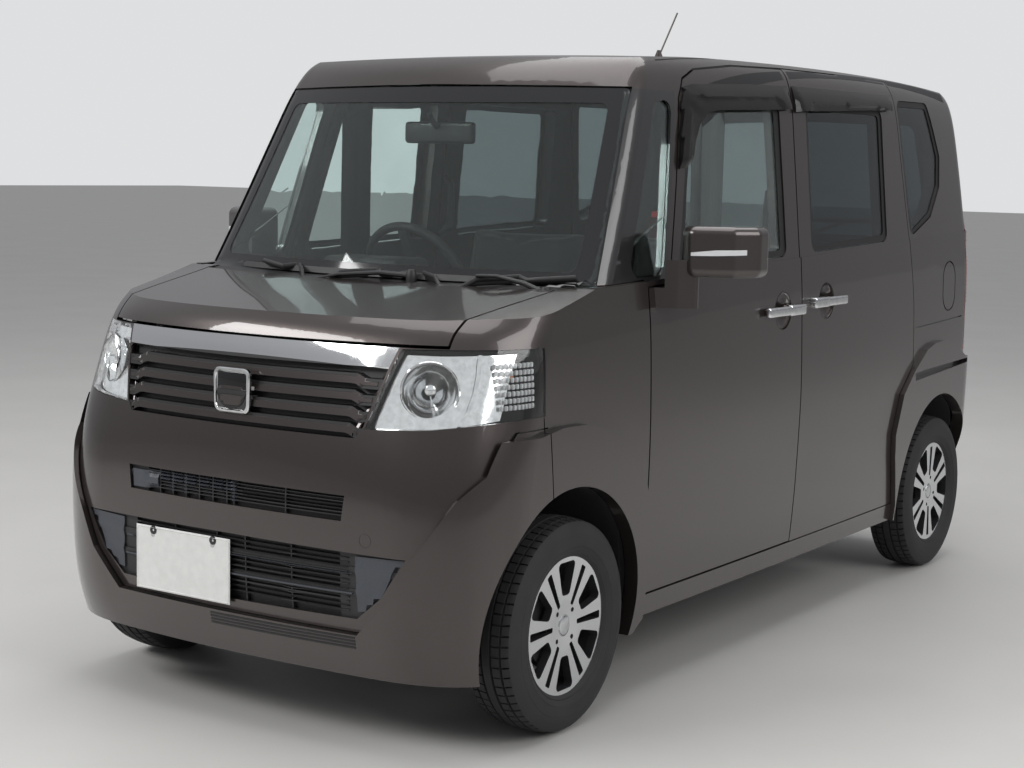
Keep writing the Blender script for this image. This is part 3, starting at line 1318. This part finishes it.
cabinLook = {
    "hood": ((-0.475, 0.440, 1.085), (-0.185, 0.612, 1.158)), "hoodBevel": 0.022,
    "gauge": ((-0.452, 0.6105, 1.095), (-0.208, 0.6150, 1.146)), "gaugeBevel": 0.002,
    "screen": ((-0.095, 0.590, 0.945), (0.105, 0.603, 1.065)), "screenBevel": 0.004,
    "ventPlaces": (-0.600, -0.150, 0.160, 0.600), "ventHalf": 0.042, "ventAlong": (0.586, 0.604),
    "ventBlades": 5,
    "ventLow": 0.985, "ventStep": 0.015, "ventThick": 0.004, "ventEdges": (-0.046, 0.044),
    "ventEdgeAlong": (0.582, 0.606), "ventEdgeHigh": (0.978, 1.056), "ventBevel": 0.001,
    "mirror": ((-0.120, 0.385, 1.500), (0.120, 0.412, 1.562)), "mirrorBevel": 0.011,
    "mirrorStalk": ((0, 0.385, 1.545), (0, 0.352, 1.572), (0, 0.345, 1.585)), "stalkRadius": 0.008,
    "visorAcross": 0.340, "visorHalf": 0.19, "visorAlong": (0.470, 0.640), "visorHigh": (1.632, 1.648),
    "visorBevel": 0.007, "gripAcross": 0.640, "gripRadius": 0.0115,
    "grip": ((0, 1.290, 1.200), (0.035, 1.285, 1.225), (0.040, 1.290, 1.300), (0.035, 1.295, 1.375),
             (0, 1.300, 1.400)),
}


def cabinBox(bm, low, high, bevel, steps):
    # a block whose corners give their place along the car from the front axle
    addBox(bm, (low[0], behind(low[1]), low[2]), (high[0], behind(high[1]), high[2]), bevel, steps)


def airVents():
    bm = bmesh.new()
    (start, end), (edgeStart, edgeEnd) = cabinLook["ventAlong"], cabinLook["ventEdgeAlong"]
    edgeLow, edgeHigh = cabinLook["ventEdgeHigh"]
    half, thick = cabinLook["ventHalf"], cabinLook["ventThick"]
    for across in cabinLook["ventPlaces"]:
        for level in range(cabinLook["ventBlades"]):
            high = cabinLook["ventLow"] + cabinLook["ventStep"] * level
            cabinBox(bm, (across - half, start, high), (across + half, end, high + thick),
                     cabinLook["ventBevel"], 1)
        for edge in cabinLook["ventEdges"]:
            cabinBox(bm, (across + edge, edgeStart, edgeLow), (across + edge + thick, edgeEnd, edgeHigh),
                     cabinLook["ventBevel"], 1)
    toPiece(bm, "AirVents", softBlack)


def cabinPieces():
    # hood and screens on the dashboard, mirror, sun visors and grab handles
    hood, screens, mirrorCase, visors, grips = (bmesh.new() for number in range(5))
    cabinBox(hood, *cabinLook["hood"], cabinLook["hoodBevel"], 4)
    toPiece(hood, "GaugeHood", trimPlastic)
    cabinBox(screens, *cabinLook["gauge"], cabinLook["gaugeBevel"], 2)
    cabinBox(screens, *cabinLook["screen"], cabinLook["screenBevel"], 2)
    toPiece(screens, "CabinScreens", glossBlack)
    airVents()
    cabinBox(mirrorCase, *cabinLook["mirror"], cabinLook["mirrorBevel"], 4)
    stalk = [(across, behind(along), high) for across, along, high in cabinLook["mirrorStalk"]]
    addTube(mirrorCase, stalk, cabinLook["stalkRadius"])
    toPiece(mirrorCase, "InnerMirror", softBlack)
    (visorStart, visorEnd), (visorLow, visorHigh) = cabinLook["visorAlong"], cabinLook["visorHigh"]
    for side in (-1, 1):
        middle = side * cabinLook["visorAcross"]
        cabinBox(visors, (middle - cabinLook["visorHalf"], visorStart, visorLow),
                 (middle + cabinLook["visorHalf"], visorEnd, visorHigh), cabinLook["visorBevel"], 3)
        across = side * cabinLook["gripAcross"]
        addTube(grips, [(across - side * inward, behind(along), high)
                        for inward, along, high in cabinLook["grip"]],
                cabinLook["gripRadius"], 12)
    toPiece(visors, "SunVisors", trimPlastic)
    toPiece(grips, "PillarGrips", trimPlastic)


cabinPieces()
print("cabin dressed")

# rear of the car

lampSkin = skinOf("tail_lamps")
gateSkin = skinOf("tailgate")
tailLook = {"inner": 0.652, "outer": 0.712, "red": (0.960, 1.238), "clear": (0.796, 0.950), "lift": 0.0008,
            "thick": 0.0012, "ribs": 18, "ribLow": 0.966, "ribStep": 0.0152, "ribTall": 0.003,
            "ribLift": 0.0018,
            "ribThick": 0.0014}


def tailLampFaces():
    # red and clear fields of the upright lamps, and ribs across the red one
    red, pale, ribs = bmesh.new(), bmesh.new(), bmesh.new()
    for side in (-1, 1):
        ends = (side * tailLook["inner"], side * tailLook["outer"])
        for bm, key, rows in ((red, "red", 24), (pale, "clear", 14)):
            addBand(bm, lampSkin, fromRear, strip(*ends, *tailLook[key]), (6, rows), tailLook["lift"],
                    tailLook["thick"])
        for number in range(tailLook["ribs"]):
            high = tailLook["ribLow"] + tailLook["ribStep"] * number
            addBand(ribs, lampSkin, fromRear, strip(*ends, high, high + tailLook["ribTall"]), (6, 1),
                    tailLook["ribLift"], tailLook["ribThick"])
    toPiece(red, "TailLampRed", redGloss)
    toPiece(pale, "TailLampClear", indicatorClear)
    toPiece(ribs, "TailLampRibs", redGloss)


trimLook = {"stop": (-0.14, 0.14, 1.700, 1.716), "stopLift": 0.0012, "stopThick": 0.002,
            "garnish": (-0.34, 0.34, 0.878, 0.912), "garnishLift": 0.006, "garnishThick": 0.005,
            "reflector": (0.53, 0.64), "reflectorHigh": (0.452, 0.482), "reflectorLift": 0.001,
            "reflectorThick": 0.003}
rearWiperLook = {"start": 0.02, "length": 0.34, "high": 1.245, "rise": 0.004, "steps": 12, "lift": 0.016,
                 "radius": 0.006, "pivot": (-0.02, 1.165), "armSeat": 0.012, "armBend": 0.019,
                 "armEnd": 0.020,
                 "armShift": (0.06, 0, 0.035), "armRadii": [0.010, 0.008, 0.006],
                 "foot": [(0.0, 0.023), (0.014, 0.021), (0.019, 0.014), (0.020, -0.004)]}


def rearTrim():
    # stop lamp, bright bar and low reflectors
    stop, bar, marks = bmesh.new(), bmesh.new(), bmesh.new()
    addBand(stop, gateSkin, fromRear, strip(*trimLook["stop"]), (24, 2), trimLook["stopLift"],
            trimLook["stopThick"])
    toPiece(stop, "HighStopLamp", redGloss, "tailgate")
    addBand(bar, gateSkin, fromRear, strip(*trimLook["garnish"]), (40, 5), trimLook["garnishLift"],
            trimLook["garnishThick"])
    toPiece(bar, "GateGarnish", chrome, "tailgate")
    inner, outer = trimLook["reflector"]
    for side in (-1, 1):
        rails = strip(side * inner, side * outer, *trimLook["reflectorHigh"])
        addBand(marks, skinOf("rear_bumper"), fromRear, rails, (10, 3), trimLook["reflectorLift"],
                trimLook["reflectorThick"])
    toPiece(marks, "RearReflectors", redGloss)


def rearWiper():
    # blade, arm and its foot on the tailgate
    look = rearWiperLook
    bm = bmesh.new()
    pane = skinOf("tailgate", "tailgate_window")
    blade = [fromRear(pane, (look["start"] + look["length"] * step / look["steps"],
                             look["high"] + look["rise"] * step / look["steps"]))
                             for step in range(look["steps"] + 1)]
    addTube(bm, [place + normal * look["lift"] for place, normal in blade], look["radius"], 8, 1.3)
    pivot, normal = fromRear(pane, look["pivot"])
    middle, middleNormal = blade[look["steps"] // 2]
    arm = [pivot + normal * look["armSeat"], pivot + normal * look["armBend"] + Vector(look["armShift"]),
           middle + middleNormal * look["armEnd"]]
    addTube(bm, arm, look["armRadii"])
    turned(bm, look["foot"], (0, 1, 0), pivot, 32)
    toPiece(bm, "RearWiper", softBlack, "tailgate")


for make in (tailLampFaces, rearTrim, rearWiper):
    make()
print("rear dressed")

# studio, lamps and camera

cameraView = {"place": (3.12245, -5.08553, 1.45224), "turn": 33.75, "tilt": 6.92, "roll": 1.18,
              "focal": 1827.27, "imageWidth": 1024, "sensor": 36.0, "furthest": 200}
stageLook = {"floor": (0.56, 0.55, 0.53), "floorPale": 1.06, "floorRough": 0.45, "size": 60.0,
             "backdrop": (0.86, 0.87, 0.88), "horizon": (0.22, 0.22, 0.23), "zenith": (0.62, 0.63, 0.65),
             "fade": (-0.1, 0.9), "strength": 0.85}
lampRows = (("KeyLamp", (-3.5, -6.0, 5.0), (0, -0.5, 0.8), (5.0, 1.9), 280),
            ("FillLamp", (7.0, -1.0, 4.5), (0, 0.2, 0.9), (5.0, 4.0), 200),
            ("TopLamp", (0, 0.5, 6.5), (0, 0.2, 1.0), (5.0, 7.0), 220))


def buildFloor():
    bm = bmesh.new()
    bmesh.ops.create_grid(bm, x_segments=4, y_segments=4, size=stageLook["size"])
    mesh = bpy.data.meshes.new("Floor")
    bm.to_mesh(mesh)
    bm.free()
    floor = bpy.data.objects.new("Floor", mesh)
    bpy.context.collection.objects.link(floor)
    material, tree, shader = newMaterial("PaleFloor")
    pale = shaded(stageLook["floor"], stageLook["floorPale"])
    link(tree, ramp(tree, noiseAt(tree, 1.5, 5), 0.3, 0.7, stageLook["floor"], pale),
         shader.inputs["Base Color"])
    shader.inputs["Roughness"].default_value = stageLook["floorRough"]
    mesh.materials.append(material)


def buildWorld():
    # soft light that grows upward; the camera, and what it sees through glass, gets the pale backdrop
    world = bpy.data.worlds.new("Studio")
    bpy.context.scene.world = world
    world.use_nodes = True
    tree = world.node_tree
    back = tree.nodes["Background"]
    path = addNode(tree, "ShaderNodeLightPath")
    direction = splitUp(tree, addNode(tree, "ShaderNodeTexCoord").outputs["Generated"])
    height = addNode(tree, "ShaderNodeMapRange")
    height.inputs["From Min"].default_value, height.inputs["From Max"].default_value = stageLook["fade"]
    link(tree, direction["Z"], height.inputs["Value"])
    light = ramp(tree, height.outputs["Result"], 0.0, 1.0, stageLook["horizon"], stageLook["zenith"])
    seen = sums(tree, "MAXIMUM", path.outputs["Is Camera Ray"], path.outputs["Is Transmission Ray"])
    link(tree, mixColour(tree, seen, light, stageLook["backdrop"]), back.inputs["Color"])
    back.inputs["Strength"].default_value = stageLook["strength"]


def areaLamp(name, place, aim, size, power):
    lamp = bpy.data.lights.new(name, "AREA")
    lamp.shape = "RECTANGLE"
    lamp.size, lamp.size_y = size
    lamp.energy = power
    holder = bpy.data.objects.new(name, lamp)
    bpy.context.collection.objects.link(holder)
    holder.location = place
    holder.rotation_euler = (Vector(aim) - Vector(place)).to_track_quat("-Z", "Y").to_euler()


def buildCamera():
    # the photograph's viewpoint, from turn, tilt and roll in degrees and a focal length in pixels
    camera = bpy.data.cameras.new("Camera")
    camera.sensor_width = cameraView["sensor"]
    camera.lens = cameraView["focal"] / cameraView["imageWidth"] * cameraView["sensor"]
    camera.clip_end = cameraView["furthest"]
    holder = bpy.data.objects.new("Camera", camera)
    bpy.context.collection.objects.link(holder)
    turn, tilt, roll = (math.radians(cameraView[key]) for key in ("turn", "tilt", "roll"))
    back = Vector((math.sin(turn) * math.cos(tilt), -math.cos(turn) * math.cos(tilt), math.sin(tilt)))
    right = (-back).cross(Vector((0, 0, 1))).normalized()
    up = right.cross(-back)
    rolledRight = right * math.cos(roll) + up * math.sin(roll)
    rolledUp = up * math.cos(roll) - right * math.sin(roll)
    matrix = Matrix((rolledRight, rolledUp, back)).transposed().to_4x4()
    matrix.translation = Vector(cameraView["place"])
    holder.matrix_world = matrix
    bpy.context.scene.camera = holder


buildFloor()
buildWorld()
for row in lampRows:
    areaLamp(*row)
buildCamera()
bpy.context.scene.view_settings.view_transform = "Standard"
print("stage and camera ready")
